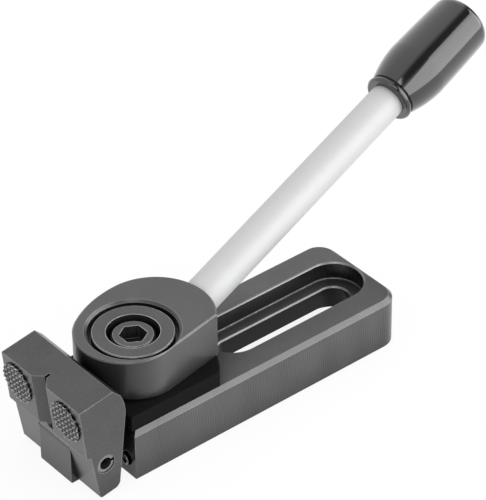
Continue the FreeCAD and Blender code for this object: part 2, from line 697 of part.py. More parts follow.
def make_grip():
    """The handle grip: bead and groove at its neck, swelling body, softly domed end."""
    bead_end = GRIP_START + BEAD_LENGTH
    groove_end = bead_end + NECK_GROOVE_WIDTH
    widest = GRIP_START + GRIP_SWELL
    end = GRIP_START + GRIP_LENGTH
    rim = end - GRIP_DOME - GRIP_END_ROUND
    hollow = ROD_END + NUT_LENGTH
    mouth = ROD_RADIUS + PIN_PRESS_GAP

    def at(radius, height):
        return FreeCAD.Vector(radius, 0, height)

    slant = GRIP_END_ROUND * (1.0 - math.sqrt(0.5))
    cap = GRIP_END_RADIUS - GRIP_END_ROUND
    dome = (cap * cap + GRIP_DOME * GRIP_DOME) / (2.0 * GRIP_DOME)
    half_turn = 0.5 * math.asin(cap / dome)
    edges = [
        line(at(0, hollow), at(NUT_RADIUS, hollow)),
        line(at(NUT_RADIUS, hollow), at(NUT_RADIUS, ROD_END)),
        line(at(NUT_RADIUS, ROD_END), at(mouth, ROD_END)),
        line(at(mouth, ROD_END), at(mouth, GRIP_START)),
        line(at(mouth, GRIP_START), at(BEAD_FACE_RADIUS, GRIP_START)),
        arc(at(BEAD_FACE_RADIUS, GRIP_START), at(BEAD_RADIUS, GRIP_START + 0.5 * BEAD_LENGTH),
            at(NECK_GROOVE_RADIUS, bead_end)),
        line(at(NECK_GROOVE_RADIUS, bead_end), at(NECK_GROOVE_RADIUS, groove_end)),
        line(at(NECK_GROOVE_RADIUS, groove_end), at(GRIP_NECK_RADIUS, groove_end)),
        arc(at(GRIP_NECK_RADIUS, groove_end),
            at(0.3 * GRIP_NECK_RADIUS + 0.7 * GRIP_RADIUS, 0.5 * (groove_end + widest)),
            at(GRIP_RADIUS, widest)),
        arc(at(GRIP_RADIUS, widest),
            at(0.4 * GRIP_END_RADIUS + 0.6 * GRIP_RADIUS, 0.45 * widest + 0.55 * rim),
            at(GRIP_END_RADIUS, rim)),
        arc(at(GRIP_END_RADIUS, rim), at(GRIP_END_RADIUS - slant, end - GRIP_DOME - slant),
            at(cap, end - GRIP_DOME)),
        arc(at(cap, end - GRIP_DOME),
            at(dome * math.sin(half_turn), end - dome * (1.0 - math.cos(half_turn))),
            at(0, end)),
        line(at(0, end), at(0, hollow)),
    ]
    return along_rod(Part.Face(Part.Wire(edges)).revolve(ORIGIN, Z_AXIS, 360))


def make_grip_nut():
    """The threaded bush moulded into the grip, which the rod's tail screws into."""
    start = ROD_END
    bore = ROD_TAIL_RADIUS + PIN_PRESS_GAP
    radius = NUT_RADIUS - PIN_PRESS_GAP
    end = start + NUT_LENGTH - PIN_PRESS_GAP
    return along_rod(turned([(bore, start), (radius, start), (radius, end), (bore, end)]))


def make_all():
    """Every piece of the clamp under its node's name."""
    right_screw, left_screw = plate_screw_places()
    right_spring, left_spring = spring_places()
    return {
        "base_body": make_base(),
        "slide_plate": make_slide_plate(),
        "plate_screw_left": make_plate_screw(left_screw),
        "plate_screw_right": make_plate_screw(right_screw),
        "return_spring_left": make_spring(left_spring),
        "return_spring_right": make_spring(right_spring),
        "clamping_jaw": make_jaw(),
        "grip_insert_left": make_insert(1),
        "grip_insert_right": make_insert(-1),
        "hinge_pin": make_hinge_pin(),
        "lever_hub": make_hub(),
        "pivot_bush": make_bush(),
        "pivot_screw": make_pivot_screw(),
        "lever_rod": make_lever_rod(),
        "handle_grip": make_grip(),
        "grip_nut": make_grip_nut(),
    }


def main():
    """Write one STEP file for each piece."""
    os.makedirs("parts", exist_ok=True)
    for name, shape in make_all().items():
        solids = shape.Solids
        print(name, "valid" if shape.isValid() else "BROKEN", len(solids), round(shape.Volume, 1))
        piece = solids[0] if len(solids) == 1 else shape
        piece.exportStep(os.path.join("parts", name + ".step"))


main()
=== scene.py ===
"""The finishes and small parts of a low profile edge clamp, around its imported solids.

Metres, in the clamp's own frame: +Z up on the lever's pivot axis, +X back along the
bolt slot. Each sub-assembly is a class that builds and dresses its own pieces.
"""
import json
import logging
import math
from dataclasses import dataclass, field, fields
from enum import Enum

import bmesh
import bpy
from mathutils import Matrix, Vector

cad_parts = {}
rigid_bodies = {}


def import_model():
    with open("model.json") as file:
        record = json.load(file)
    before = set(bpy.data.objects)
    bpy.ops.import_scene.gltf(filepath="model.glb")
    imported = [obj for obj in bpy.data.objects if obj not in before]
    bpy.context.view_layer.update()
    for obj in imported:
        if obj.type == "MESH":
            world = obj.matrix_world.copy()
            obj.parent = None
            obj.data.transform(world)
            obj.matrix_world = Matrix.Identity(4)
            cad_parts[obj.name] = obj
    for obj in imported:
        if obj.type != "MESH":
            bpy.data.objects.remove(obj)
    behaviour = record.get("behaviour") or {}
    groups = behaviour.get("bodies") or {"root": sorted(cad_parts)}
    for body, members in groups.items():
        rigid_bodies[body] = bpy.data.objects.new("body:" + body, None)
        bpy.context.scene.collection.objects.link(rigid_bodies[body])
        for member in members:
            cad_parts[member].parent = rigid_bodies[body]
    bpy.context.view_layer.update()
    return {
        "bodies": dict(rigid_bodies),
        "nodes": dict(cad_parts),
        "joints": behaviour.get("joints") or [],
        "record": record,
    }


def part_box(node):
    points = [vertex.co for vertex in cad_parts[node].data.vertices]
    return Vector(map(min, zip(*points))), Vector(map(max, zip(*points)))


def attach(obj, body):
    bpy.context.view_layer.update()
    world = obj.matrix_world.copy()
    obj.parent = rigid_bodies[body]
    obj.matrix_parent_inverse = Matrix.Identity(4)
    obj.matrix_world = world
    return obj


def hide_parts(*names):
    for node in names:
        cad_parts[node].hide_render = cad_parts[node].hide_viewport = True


log = logging.getLogger("edge_clamp")

MM = 0.001
WHITE = (1.0, 1.0, 1.0, 1.0)
# Most of a noise's values lie in this range.
NOISE_RANGE = (0.3, 0.7)
# How level a face is, from 0 to 1, where it stops being a wall and where it is flat.
UPRIGHT_BELOW = 0.3
LEVEL_ABOVE = 0.95

Triple = tuple[float, float, float]
Socket = bpy.types.NodeSocket


class Side(Enum):
    """The clamp's two sides."""

    LEFT = "left"
    RIGHT = "right"


class Lay(Enum):
    """Which way a tool left its marks on a face."""

    EVEN = "even"
    LEVEL = "level"
    TURNED = "turned"


class NodeDesk:
    """A node tree with short ways to add and join its nodes."""

    def __init__(self, tree: bpy.types.NodeTree) -> None:
        """Work on one tree."""
        self.tree = tree

    def add(self, kind: str, **settings: object) -> bpy.types.Node:
        """Add a node.

        Args:
            kind: Blender's name for the node's type.
            **settings: Attributes to set on it.

        Returns:
            The new node.
        """
        node = self.tree.nodes.new(kind)
        for key, value in settings.items():
            setattr(node, key, value)
        return node

    def feed(self, socket: Socket, value: object) -> None:
        """Join an output to a socket, or write a plain value on it.

        Args:
            socket: The input to fill.
            value: An output socket, a number, a colour or a vector.
        """
        if isinstance(value, bpy.types.NodeSocket):
            self.tree.links.new(value, socket)
        else:
            socket.default_value = value

    def math(self, operation: str, a: object, b: object = 0.0, c: object = 0.0) -> Socket:
        """One step of arithmetic.

        Args:
            operation: Blender's name for the operation.
            a: The first value or socket.
            b: The second value or socket.
            c: The third value or socket.

        Returns:
            The answer's socket.
        """
        node = self.add("ShaderNodeMath", operation=operation)
        for socket, value in zip(node.inputs, (a, b, c)):
            self.feed(socket, value)
        return node.outputs[0]

    def product(self, *values: object) -> Socket:
        """Several values multiplied.

        Args:
            *values: Two or more values or sockets.

        Returns:
            The product's socket.
        """
        first, *others = values
        for other in others:
            first = self.math("MULTIPLY", first, other)
        return first

    def dot(self, first: object, second: object) -> Socket:
        """The dot product of two vectors.

        Args:
            first: A vector or its socket.
            second: A vector or its socket.

        Returns:
            The product's socket.
        """
        node = self.add("ShaderNodeVectorMath", operation="DOT_PRODUCT")
        self.feed(node.inputs[0], first)
        self.feed(node.inputs[1], second)
        return node.outputs["Value"]

    def split(self, vector: Socket) -> tuple[Socket, Socket, Socket]:
        """A vector's three parts.

        Args:
            vector: The vector's socket.

        Returns:
            The sockets of X, Y and Z.
        """
        node = self.add("ShaderNodeSeparateXYZ")
        self.feed(node.inputs[0], vector)
        return node.outputs["X"], node.outputs["Y"], node.outputs["Z"]

    def blend(self, first: object, second: object, share: Socket) -> Socket:
        """The socket of a value that goes from first to second as the share goes from 0 to 1."""
        return self.math("MULTIPLY_ADD", self.math("SUBTRACT", second, first), share, first)

    def span(self, value: Socket, low: float, high: float, to_low: float, to_high: float,
             smooth: bool = False) -> Socket:
        """Carry a value from one range to another, kept inside it.

        Args:
            value: The value's socket.
            low: The value that becomes to_low.
            high: The value that becomes to_high.
            to_low: The new value at low.
            to_high: The new value at high.
            smooth: Whether the ends ease in and out.

        Returns:
            The new value's socket.
        """
        node = self.add("ShaderNodeMapRange")
        if smooth:
            node.interpolation_type = "SMOOTHSTEP"
        for socket, number in zip(node.inputs, (value, low, high, to_low, to_high)):
            self.feed(socket, number)
        return node.outputs["Result"]

    def swing(self, noise: Socket, middle: float, reach: float) -> Socket:
        """Spread a noise about 0.5 evenly over middle - reach to middle + reach."""
        return self.span(noise, *NOISE_RANGE, middle - reach, middle + reach)


class FinishDesk(NodeDesk):
    """The node desk of a material, around its principled shader."""

    face_samples = 6
    relief_samples = 8
    edge_turn = (0.998, 0.92)

    def __init__(self, name: str) -> None:
        """Start a material with a principled surface.

        Args:
            name: The material's name.
        """
        self.material = bpy.data.materials.new(name)
        self.material.use_nodes = True
        super().__init__(self.material.node_tree)
        self.shader = self.tree.nodes["Principled BSDF"]
        self.place = self.add("ShaderNodeTexCoord").outputs["Object"]

    def stretch(self, scale: Triple, source: object = None) -> Socket:
        """The object's own coordinates, scaled per axis.

        Args:
            scale: How many pattern units each metre holds along X, Y and Z.
            source: Other coordinates to scale, or None for the object's.

        Returns:
            The scaled vector's socket.
        """
        node = self.add("ShaderNodeMapping")
        self.feed(node.inputs["Vector"], source or self.place)
        self.feed(node.inputs["Scale"], scale)
        return node.outputs["Vector"]

    def noise(self, vector: Socket, detail: float, rough: float = 0.6) -> Socket:
        """A noise value about 0.5 at scaled coordinates.

        Args:
            vector: The coordinates.
            detail: How many octaves it has.
            rough: How strong the fine octaves are.

        Returns:
            The value's socket.
        """
        node = self.add("ShaderNodeTexNoise")
        self.feed(node.inputs["Vector"], vector)
        self.feed(node.inputs["Scale"], 1.0)
        self.feed(node.inputs["Detail"], detail)
        self.feed(node.inputs["Roughness"], rough)
        return node.outputs["Fac"]

    def even_noise(self, cells: float, detail: float, rough: float = 0.6) -> Socket:
        """A noise with the same number of cells in a metre along every axis."""
        return self.noise(self.stretch((cells, cells, cells)), detail, rough)

    def shade(self, colour: Triple, factor: Socket) -> Socket:
        """A colour made lighter or darker by a factor about 1.

        Args:
            colour: The linear colour.
            factor: The factor's socket.

        Returns:
            The colour's socket.
        """
        node = self.add("ShaderNodeVectorMath", operation="SCALE")
        self.feed(node.inputs[0], colour)
        self.feed(node.inputs["Scale"], factor)
        return node.outputs["Vector"]

    def surface(self, colour: object, metallic: float, roughness: object) -> None:
        """Set the shader's main values.

        Args:
            colour: A linear colour or a colour socket.
            metallic: How far it is bare metal.
            roughness: A number or a socket.
        """
        if isinstance(colour, tuple):
            colour = (*colour, 1.0)
        self.feed(self.shader.inputs["Base Color"], colour)
        self.feed(self.shader.inputs["Metallic"], metallic)
        self.feed(self.shader.inputs["Roughness"], roughness)

    def coat(self, weight: float, roughness: float) -> None:
        """Lay a clear film on the surface, with a weight from 0 to 1."""
        self.feed(self.shader.inputs["Coat Weight"], weight)
        self.feed(self.shader.inputs["Coat Roughness"], roughness)

    def levelness(self) -> Socket:
        """How level a face lies: 0 on an upright wall, 1 on a top or an underside."""
        facing = self.add("ShaderNodeNewGeometry").outputs["Normal"]
        return self.math("ABSOLUTE", self.split(facing)[2])

    def edge_mask(self, reach: float) -> Socket:
        """How near a point is to a sharp edge.

        Args:
            reach: How far from the edge the mask starts.

        Returns:
            The mask's socket: 0 on a face, towards 1 on an edge.
        """
        soft = self.add("ShaderNodeBevel", samples=self.face_samples)
        self.feed(soft.inputs["Radius"], reach)
        flat = self.add("ShaderNodeNewGeometry")
        turn = self.dot(soft.outputs["Normal"], flat.outputs["Normal"])
        return self.span(turn, *self.edge_turn, 0.0, 1.0)

    def hollow(self, reach: float, darkest: float, limits: tuple[float, float]) -> Socket:
        """Painted shade: a factor below 1 where the part's own walls stand close round a point.

        Args:
            reach: How far away a wall still counts.
            darkest: The factor in a closed corner.
            limits: How open the sky is where the factor is darkest, and where it is 1.

        Returns:
            The factor's socket.
        """
        sky = self.add("ShaderNodeAmbientOcclusion", samples=self.face_samples)
        self.feed(sky.inputs["Distance"], reach)
        return self.span(sky.outputs["AO"], *limits, darkest, 1.0)

    def relief(self, height: Socket, depth: float, edge_round: float) -> None:
        """Round the edges and press a height pattern into the surface.

        Args:
            height: The pattern's socket.
            depth: Its depth in metres.
            edge_round: The radius of the rounded look of sharp edges, or 0 for none.
        """
        bump = self.add("ShaderNodeBump")
        self.feed(bump.inputs["Height"], height)
        self.feed(bump.inputs["Distance"], depth)
        self.feed(bump.inputs["Strength"], 1.0)
        if edge_round > 0.0:
            soft = self.add("ShaderNodeBevel", samples=self.relief_samples)
            self.feed(soft.inputs["Radius"], edge_round)
            self.feed(bump.inputs["Normal"], soft.outputs["Normal"])
        self.feed(self.shader.inputs["Normal"], bump.outputs["Normal"])


@dataclass(frozen=True)
class Finish:
    """What every finish has: a name, a colour and how it meets the light.

    Colours are linear. Lengths are in metres.
    """

    name: str
    colour: Triple
    metallic: float
    roughness: float
    edge_round: float = 0.00025
    # How much a painted highlight lightens sharp edges; 0 leaves them plain.
    edge_bright: float = 0.0

    def build(self) -> bpy.types.Material:
        """Make the finish's material.

        Returns:
            The new material.
        """
        desk = FinishDesk(self.name)
        self.paint(desk)
        return desk.material

    def paint(self, desk: FinishDesk) -> None:
        """Set the plain colour, metal and roughness."""
        desk.surface(self.colour, self.metallic, self.roughness)


@dataclass(frozen=True)
class WorkedSteel(Finish):
    """Steel as a cutter left it: grain, tool marks, painted edge highlights, painted shade in
    hollows.

    Grain and cloud are cells in each metre. A shade is how far a pattern lightens or
    darkens the colour. The hollow values are those of FinishDesk.hollow.
    """

    lay: Lay = Lay.EVEN
    grain: float = 2600.0
    grain_depth: float = 0.000012
    grain_rough: float = 0.05
    speck_shade: float = 0.13
    mark_pitch: float = 0.0006
    mark_depth: float = 0.000008
    mark_shade: float = 0.10
    mark_drift: float = 0.03
    cloud: float = 45.0
    cloud_shade: float = 0.10
    # Where the cloud noise weakens the painted edge highlight, and its weakest share.
    wear_from: tuple[float, float] = (0.35, 0.6)
    wear_least: float = 0.5
    # Painted shade in hollows, with the values of FinishDesk.hollow.
    hollow_reach: float = 0.014
    hollow_dark: float = 0.30
    hollow_sky: tuple[float, float] = (0.15, 0.95)
    oil: float = 0.0
    oil_rough: float = 0.22

    def marks(self, desk: FinishDesk) -> Socket:
        """The tool marks' height pattern.

        Args:
            desk: The material's node desk.

        Returns:
            The pattern's socket, about 0.5.
        """
        fine = 1.0 / self.mark_pitch
        slow = self.mark_drift * fine
        if self.lay is Lay.LEVEL:
            place = desk.stretch((slow, slow, fine))
        elif self.lay is Lay.TURNED:
            place = self.rings(desk, fine)
        else:
            place = desk.stretch((fine, fine, fine))
        return desk.noise(place, detail=2.0)

    def rings(self, desk: FinishDesk, fine: float) -> Socket:
        """Coordinates that change from ring to ring about the pivot axis.

        Args:
            desk: The material's node desk.
            fine: Rings in each metre.

        Returns:
            The vector's socket.
        """
        x, y, z = desk.split(desk.place)
        square = desk.math("MULTIPLY_ADD", x, x, desk.product(y, y))
        radius = desk.math("SQRT", square)
        join = desk.add("ShaderNodeCombineXYZ")
        desk.feed(join.inputs["X"], desk.product(radius, fine))
        desk.feed(join.inputs["Y"], desk.product(z, fine))
        return join.outputs["Vector"]

    def shape_shade(self, desk: FinishDesk, factor: Socket) -> Socket:
        """Shades that belong to one shape only: none for plain steel."""
        return factor

    def paint(self, desk: FinishDesk) -> None:
        """Dress the steel: cloud, grain, tool marks, painted edge highlights and hollow shade,
        oil.

        Args:
            desk: The material's node desk.
        """
        grain = desk.even_noise(self.grain, detail=2.0, rough=0.7)
        cloud = desk.even_noise(self.cloud, detail=4.0)
        marks = self.marks(desk)
        factor = desk.product(desk.swing(cloud, 1.0, self.cloud_shade),
                              desk.swing(marks, 1.0, self.mark_shade),
                              desk.swing(grain, 1.0, self.speck_shade))
        # Painted highlight on sharp edges, made uneven like wear by the cloud noise.
        if self.edge_bright > 0.0:
            edge = desk.edge_mask(2.0 * self.edge_round)
            highlight_on_edge = desk.product(edge, desk.span(cloud, *self.wear_from, self.wear_least, 1.0))
            lift = desk.math("MULTIPLY_ADD", highlight_on_edge, self.edge_bright, 1.0)
            factor = desk.product(factor, lift)
        factor = self.shape_shade(desk, factor)
        # Painted shade where the part's own walls close in round a point.
        hollow_shade = desk.hollow(self.hollow_reach, self.hollow_dark, self.hollow_sky)
        colour = desk.shade(self.colour, desk.product(factor, hollow_shade))
        desk.surface(colour, self.metallic, desk.swing(grain, self.roughness, self.grain_rough))
        if self.oil > 0.0:
            desk.coat(self.oil, self.oil_rough)
        height = desk.math("MULTIPLY_ADD", marks, self.mark_depth / self.grain_depth, grain)
        desk.relief(height, self.grain_depth, self.edge_round)


@dataclass(frozen=True)
class SlottedSteel(WorkedSteel):
    """The base's steel: cutter lines on its sides, painted shade and highlights in its slot.

    The lines stand upright and lean a little, but lie level on the hinge lug in front.
    Inside the slot, painted shade darkens the walls above and below the shelf,
    painted light brightens the shelf and the bevels, and a painted highlight marks the
    upper walls' root. These shades follow the photograph's brightness.
    """

    lug_before: float = -0.0205
    line_lean: float = 0.09
    line_height: float = 0.16
    lug_line_height: float = 0.30
    wander: float = 5.0
    wander_pace: float = 0.35
    broad_height: float = 0.22
    broad_pace: tuple[float, float] = (0.12, 0.2)
    side_to_top: tuple[float, float] = (0.3, 0.6)
    top_share: float = 0.12
    slot_from: float = 0.0365
    slot_to: float = 0.1165
    slot_half: float = 0.01262
    shelf_height: float = 0.01505
    root_line: float = 0.00055
    wall_shade: float = 0.42
    deep_shade: float = 0.05
    shelf_shade: float = 1.45
    bevel_lift: float = 0.9
    root_lift: float = 15.0

    def marks(self, desk: FinishDesk) -> Socket:
        """The even lines that a cutter leaves on a side, faint on level faces.

        Args:
            desk: The material's node desk.

        Returns:
            The pattern's socket, about 0.5.
        """
        fine = 1.0 / self.mark_pitch
        slow = self.mark_drift * fine
        x, y, z = desk.split(desk.place)
        on_lug = desk.math("LESS_THAN", x, self.lug_before)
        leant = desk.math("MULTIPLY_ADD", z, self.line_lean, desk.math("ADD", x, y))
        across = desk.blend(leant, z, on_lug)
        pace = self.wander_pace * fine
        wander = desk.blend(desk.noise(desk.stretch((pace, pace, slow)), detail=2.0),
                            desk.noise(desk.stretch((slow, slow, pace)), detail=2.0), on_lug)
        phase = desk.product(across, 2.0 * math.pi * fine)
        wave = desk.math("SINE", desk.math("MULTIPLY_ADD", wander, self.wander, phase))
        height = desk.blend(self.line_height, self.lug_line_height, on_lug)
        wide, tall = self.broad_pace[0] * fine, self.broad_pace[1] * slow
        broad = desk.noise(desk.stretch((wide, wide, tall)), detail=1.0)
        broad = desk.product(desk.math("SUBTRACT", broad, 0.5), self.broad_height)
        line = desk.math("MULTIPLY_ADD", wave, height, broad)
        on_side = desk.span(desk.levelness(), *self.side_to_top, 1.0, self.top_share)
        return desk.math("MULTIPLY_ADD", line, on_side, 0.5)

    def shape_shade(self, desk: FinishDesk, factor: Socket) -> Socket:
        """Paint shade on the slot's walls, and light on its shelf, its bevels and the walls' root
        line.

        Args:
            desk: The material's node desk.
            factor: The shade so far.

        Returns:
            The shade's socket.
        """
        x, y, z = desk.split(desk.place)
        level = desk.levelness()
        above = desk.math("SUBTRACT", z, self.shelf_height)
        inside = desk.product(desk.math("LESS_THAN", desk.math("ABSOLUTE", y), self.slot_half),
                              desk.math("GREATER_THAN", x, self.slot_from),
                              desk.math("LESS_THAN", x, self.slot_to))
        flat = desk.math("GREATER_THAN", level, LEVEL_ABOVE)
        wall = desk.product(inside, desk.math("LESS_THAN", level, UPRIGHT_BELOW))
        bevel = desk.math("SUBTRACT", desk.math("GREATER_THAN", level, UPRIGHT_BELOW), flat)
        shelf = desk.product(inside, flat, desk.math("LESS_THAN", above, MM))
        deep = desk.product(wall, desk.math("LESS_THAN", above, 0.0))
        half_line = 0.5 * self.root_line
        root = desk.product(wall, desk.math("COMPARE", above, half_line, half_line))
        # Painted shade on the slot's walls, deepest below the shelf, and painted light on the
        # shelf.
        dark = desk.math("MULTIPLY_ADD", wall, self.wall_shade - 1.0, 1.0)
        dark = desk.math("MULTIPLY_ADD", shelf, self.shelf_shade - 1.0, dark)
        dark = desk.math("MULTIPLY_ADD", deep, self.deep_shade - self.wall_shade, dark)
        # Painted highlights on the slot's bevels and in a thin line at the upper walls' root.
        light = desk.math("MULTIPLY_ADD", desk.product(inside, bevel), self.bevel_lift, 1.0)
        light = desk.math("MULTIPLY_ADD", root, self.root_lift, light)
        return desk.product(factor, dark, light)


@dataclass(frozen=True)
class CamSteel(WorkedSteel):
    """The hub's steel, with painted shade on its side towards the jaw.

    The shade follows the photograph's brightness. There it is probably the jaw's
    reflection, and whether the steel itself is darker isn't known.
    """

    dark_way: Triple = (-0.940, -0.342, 0.0)
    dark_span: tuple[float, float] = (0.30, 0.82)
    dark_shade: float = 0.38

    def shape_shade(self, desk: FinishDesk, factor: Socket) -> Socket:
        """Paint shade on the side towards the jaw.

        Args:
            desk: The material's node desk.
            factor: The shade so far.

        Returns:
            The shade's socket.
        """
        # Painted shade on faces that turn towards the jaw.
        facing = desk.add("ShaderNodeTexCoord").outputs["Normal"]
        toward = desk.dot(facing, self.dark_way)
        return desk.product(factor, desk.span(toward, *self.dark_span, 1.0, self.dark_shade))


@dataclass(frozen=True)
class RodSteel(WorkedSteel):
    """The rod's steel, with faint marks across its own inclined axis.

    The axis rises and turns by these degrees from +X.
    """

    rise: float = 14.95
    turn: float = 10.5

    def marks(self, desk: FinishDesk) -> Socket:
        """The faint rings that drawing and grinding leave round the rod.

        Args:
            desk: The material's node desk.

        Returns:
            The pattern's socket, about 0.5.
        """
        fine = 1.0 / self.mark_pitch
        slow = self.mark_drift * fine
        node = desk.add("ShaderNodeMapping")
        desk.feed(node.inputs["Vector"], desk.place)
        turned = (0.0, math.radians(self.rise), math.radians(-self.turn))
        desk.feed(node.inputs["Rotation"], turned)
        place = desk.stretch((fine, slow, slow), node.outputs["Vector"])
        return desk.noise(place, detail=2.0)


@dataclass(frozen=True)
class MouldedPlastic(Finish):
    """Plastic: an even colour with a faint skin texture, and a clear coat when polished."""

    skin: float = 1800.0
    skin_depth: float = 0.000006
    cloud: float = 60.0
    cloud_shade: float = 0.1
    cloud_rough: float = 0.08
    coat: float = 0.0
    coat_roughness: float = 0.05
    specular: float = 0.5

    def paint(self, desk: FinishDesk) -> None:
        """Dress the plastic.

        Args:
            desk: The material's node desk.
        """
        skin = desk.even_noise(self.skin, detail=2.0)
        cloud = desk.even_noise(self.cloud, detail=3.0)
        colour = desk.shade(self.colour, desk.swing(cloud, 1.0, self.cloud_shade))
        rough = desk.swing(cloud, self.roughness, self.cloud_rough * self.roughness)
        desk.surface(colour, self.metallic, rough)
        desk.feed(desk.shader.inputs["Specular IOR Level"], self.specular)
        if self.coat > 0.0:
            desk.coat(self.coat, self.coat_roughness)
        desk.relief(skin, self.skin_depth, self.edge_round)


@dataclass(frozen=True)
class Palette:
    """Every finish of the clamp."""

    base: SlottedSteel = SlottedSteel(
        "milled_base_steel", (0.106, 0.106, 0.108), metallic=0.80, roughness=0.34,
        edge_bright=0.9, mark_pitch=0.0011, mark_shade=0.22,
        hollow_reach=0.020, hollow_dark=0.16, oil=0.2)
    jaw: WorkedSteel = WorkedSteel(
        "grained_jaw_steel", (0.084, 0.084, 0.086), metallic=0.80, roughness=0.36,
        edge_round=0.0003, edge_bright=2.2, mark_pitch=0.0007, mark_shade=0.12,
        grain_depth=0.00002, oil=0.3)
    hub: CamSteel = CamSteel(
        "cam_hub_steel", (0.087, 0.087, 0.089), metallic=0.50, roughness=0.34,
        edge_round=0.0003, edge_bright=2.6, mark_pitch=0.0007, mark_shade=0.06,
        hollow_reach=0.004, oil=0.2)
    bush: WorkedSteel = WorkedSteel(
        "turned_bush_steel", (0.105, 0.105, 0.107), metallic=0.85, roughness=0.32,
        edge_round=0.0003, edge_bright=5.0, lay=Lay.TURNED, mark_pitch=0.0005,
        mark_shade=0.08, hollow_reach=0.003)
    screw: WorkedSteel = WorkedSteel(
        "oxide_screw_steel", (0.110, 0.110, 0.113), metallic=0.85, roughness=0.30,
        edge_round=0.0003, edge_bright=4.5, lay=Lay.TURNED, mark_shade=0.06,
        hollow_reach=0.005, hollow_dark=0.2)
    # The insert's painted shade makes its grooves nearly black, and its painted edge highlight
    # lights the tooth tips.
    insert: WorkedSteel = WorkedSteel(
        "ground_insert_steel", (0.26, 0.26, 0.265), metallic=0.85, roughness=0.26,
        edge_round=0.00015, edge_bright=3.0, lay=Lay.LEVEL, mark_pitch=0.0004,
        mark_shade=0.2, hollow_reach=0.0040, hollow_dark=0.01, hollow_sky=(0.66, 0.97))
    pin: WorkedSteel = WorkedSteel(
        "spring_pin_steel", (0.26, 0.26, 0.27), metallic=0.9, roughness=0.28,
        edge_round=0.0001, edge_bright=0.5, mark_pitch=0.0004, hollow_reach=0.004,
        hollow_dark=0.08)
    spring: WorkedSteel = WorkedSteel(
        "spring_wire", (0.13, 0.13, 0.135), metallic=1.0, roughness=0.26,
        edge_round=0.0, mark_pitch=0.0003, mark_shade=0.05, hollow_reach=0.005,
        hollow_dark=0.12)
    rod: RodSteel = RodSteel(
        "bright_rod_steel", (0.555, 0.555, 0.56), metallic=0.15, roughness=0.58,
        edge_round=0.0001, speck_shade=0.02, mark_pitch=0.00045, mark_shade=0.015,
        cloud_shade=0.01, grain_depth=0.000001, mark_depth=0.000001,
        hollow_reach=0.010, hollow_dark=0.35)
    nut: WorkedSteel = WorkedSteel(
        "grip_nut_brass", (0.62, 0.42, 0.16), metallic=1.0, roughness=0.30,
        edge_round=0.0001, mark_pitch=0.0005)
    plate: MouldedPlastic = MouldedPlastic(
        "slide_plate_black", (0.0075, 0.0075, 0.0082), metallic=0.0, roughness=0.75,
        specular=0.06)
    grip: MouldedPlastic = MouldedPlastic(
        "polished_grip_black", (0.006, 0.006, 0.0065), metallic=0.0, roughness=0.12,
        edge_round=0.0002, skin=700.0, skin_depth=0.0000006, coat=1.0,
        coat_roughness=0.10)


def dress(obj: bpy.types.Object, material: bpy.types.Material) -> None:
    """Give a piece one finish in place of what it came with.

    Args:
        obj: The piece.
        material: Its finish.
    """
    if obj.material_slots:
        for place in obj.material_slots:
            place.material = material
    else:
        obj.data.materials.append(material)


@dataclass
class Pack:
    """A sub-assembly: the nodes that ride on one body, and the palette's name for each."""

    nodes: dict[str, bpy.types.Object]
    body: str
    finish_of: dict[str, str]

    def build(self, finishes: dict[str, bpy.types.Material]) -> None:
        """Dress the sub-assembly's nodes.

        Args:
            finishes: The materials by the palette's names.
        """
        for name, finish in self.finish_of.items():
            dress(self.nodes[name], finishes[finish])
            log.info("%s rides on %s in %s", name, self.body, finishes[finish].name)


